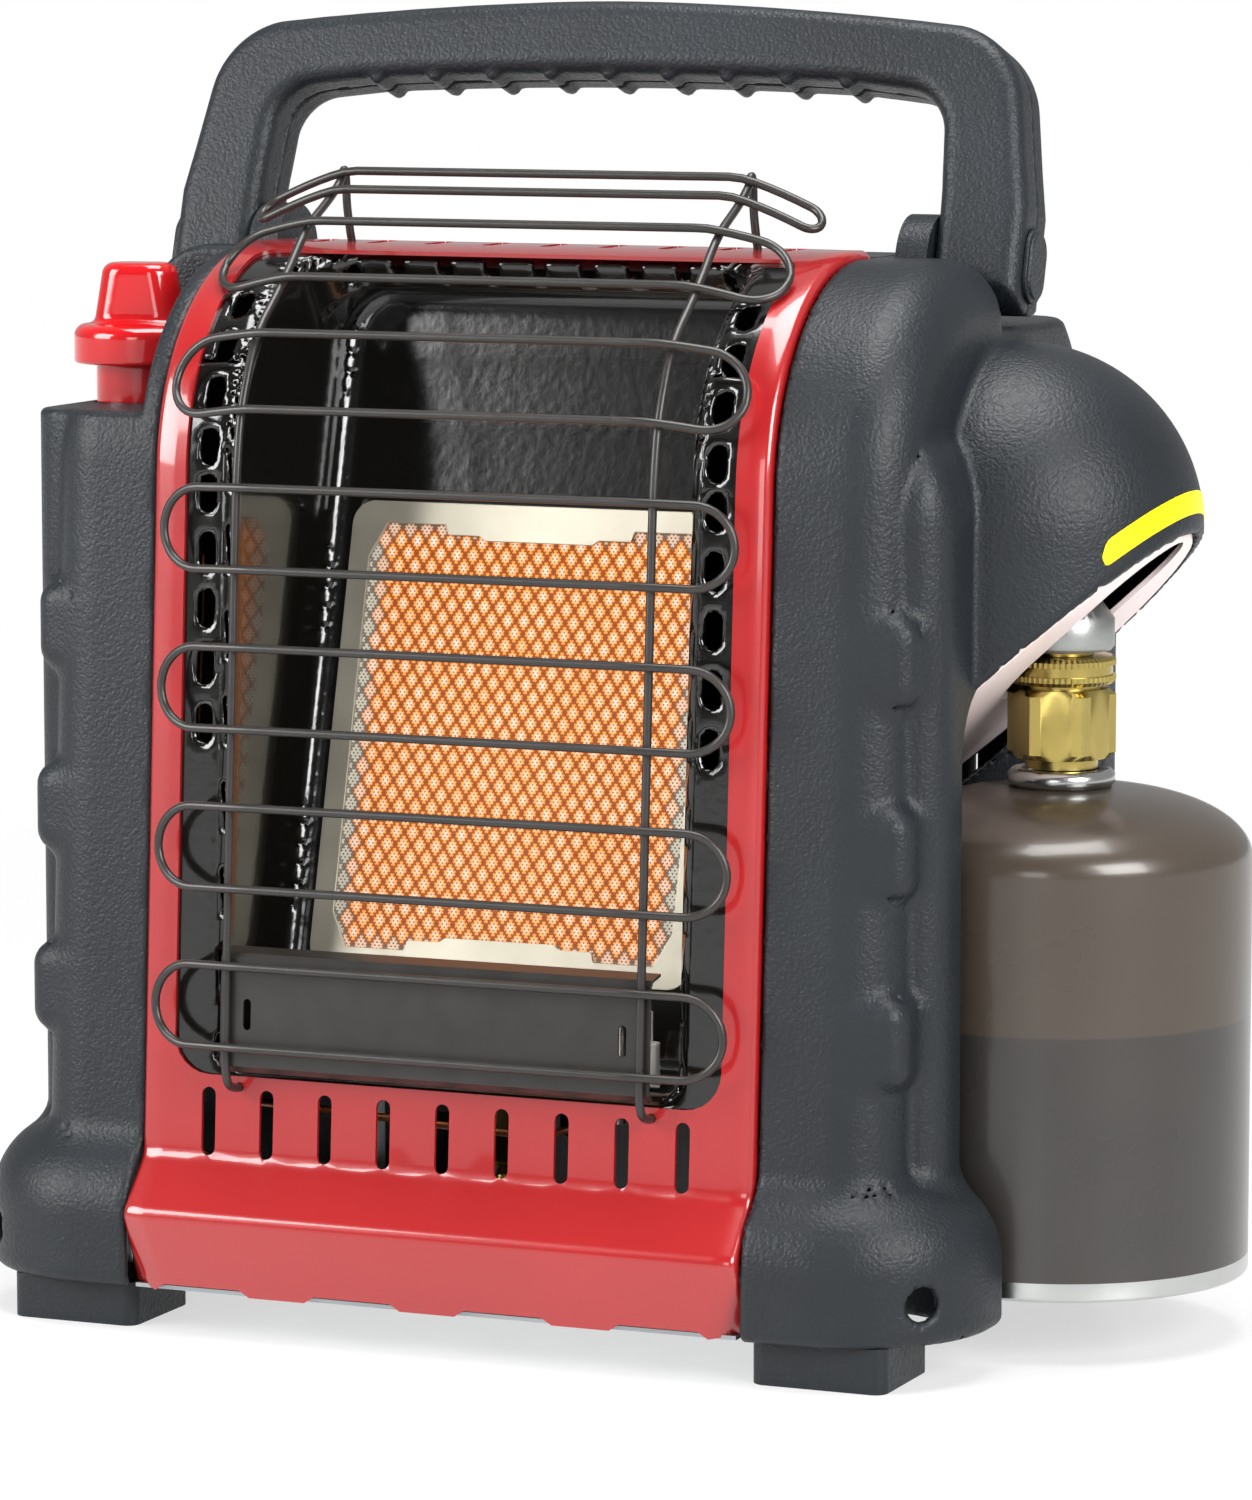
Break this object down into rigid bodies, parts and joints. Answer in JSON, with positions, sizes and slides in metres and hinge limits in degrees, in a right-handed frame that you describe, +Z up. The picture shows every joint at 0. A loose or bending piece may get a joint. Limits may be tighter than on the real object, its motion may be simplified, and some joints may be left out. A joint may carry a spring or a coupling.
{
  "type": "portable propane heater",
  "caption": "Tabletop radiant gas heater with a ceramic burner behind a wire guard, moulded side covers, folding handle, knob and a side canister under a domed regulator housing.",
  "frame": {"origin": "on the floor, under the middle of the bounding box", "axes": "+X to the right seen from the front, +Y to the rear, +Z up"},
  "size_m": [0.3598, 0.195, 0.3806],
  "materials": {
    "red_enamel": "gloss",
    "cover_plastic": "fine grain",
    "rear_paint": "satin",
    "galvanised_steel": "satin",
    "black_enamel": "gloss enamel",
    "frame_steel": "heat-stained",
    "burner_ceramic": "matt, glowing",
    "brass": "turned",
    "copper_tube": "drawn",
    "white_ceramic": "glazed",
    "black_plastic": "satin",
    "guard_black": "satin",
    "plate_pink": "satin",
    "screw_steel": "satin",
    "knob_red": "gloss",
    "zinc_alloy": "cast",
    "canister_paint": "satin",
    "rim_steel": "rolled"
  },
  "bodies": {
    "casing": {"front_panel": "red_enamel", "left_side_cover": "cover_plastic", "right_side_cover": "cover_plastic", "rear_cover": "rear_paint", "base_pan": "galvanised_steel", "feet": "cover_plastic", "combustion_chamber": "black_enamel", "burner_frame": "frame_steel", "burner_tile": "burner_ceramic", "burner_plenum": "galvanised_steel", "mixer_tube": "frame_steel", "gas_jet": "brass", "gas_valve": "brass", "jet_tube": "copper_tube", "supply_tube": "copper_tube", "pilot_tube": "copper_tube", "pilot_burner": "frame_steel", "thermocouple": "copper_tube", "spark_electrode": "white_ceramic", "piezo_igniter": "black_plastic", "tip_switch": "black_plastic", "heat_shield": "galvanised_steel", "wire_guard": "guard_black", "guard_plate": "guard_black", "dome_plate": "plate_pink", "left_handle_lug": "cover_plastic", "right_handle_lug": "cover_plastic", "lug_screws": "screw_steel", "foot_screws": "screw_steel", "rear_screws": "screw_steel", "regulator_bracket": "galvanised_steel"},
    "handle": {"handle_front": "cover_plastic", "handle_rear": "cover_plastic", "handle_pins": "screw_steel", "handle_caps": "cover_plastic", "handle_screws": "screw_steel"},
    "stem": {"valve_stem": "screw_steel", "knob_spring": "screw_steel"},
    "knob": {"control_knob": "knob_red"},
    "regulator_unit": {"regulator": "zinc_alloy", "adapter_stud": "brass", "adapter_collar": "brass", "adapter_nut": "brass"},
    "gas_canister": {"canister": "canister_paint", "canister_rim": "rim_steel", "canister_collar": "rim_steel", "canister_valve": "brass"}
  },
  "joints": [
    {"name": "handle_fold", "type": "hinge", "parent": "casing", "child": "handle", "pos_m": [-0.0249, 0.0295, 0.306], "axis": [-1, 0, 0], "range_deg": [0, 65]},
    {"name": "knob_turn", "type": "hinge", "parent": "casing", "child": "stem", "pos_m": [-0.1499, -0.0225, 0.25], "axis": [0, 0, 1], "range_deg": [-180, 0]},
    {"name": "knob_push", "type": "slide", "parent": "stem", "child": "knob", "axis": [0, 0, -1], "range_m": [0, 0.004], "stiffness_N_per_m": 500, "springref_m": -0.006, "deforming": ["knob_spring"]},
    {"name": "regulator_swing", "type": "hinge", "parent": "casing", "child": "regulator_unit", "pos_m": [0.1249, 0.0165, 0.25], "axis": [0, -1, 0], "range_deg": [0, 25]},
    {"name": "canister_unscrew", "type": "hinge", "parent": "regulator_unit", "child": "gas_canister", "pos_m": [0.1249, 0.0165, 0.165], "axis": [0, 0, 1], "continuous": true}
  ]
}
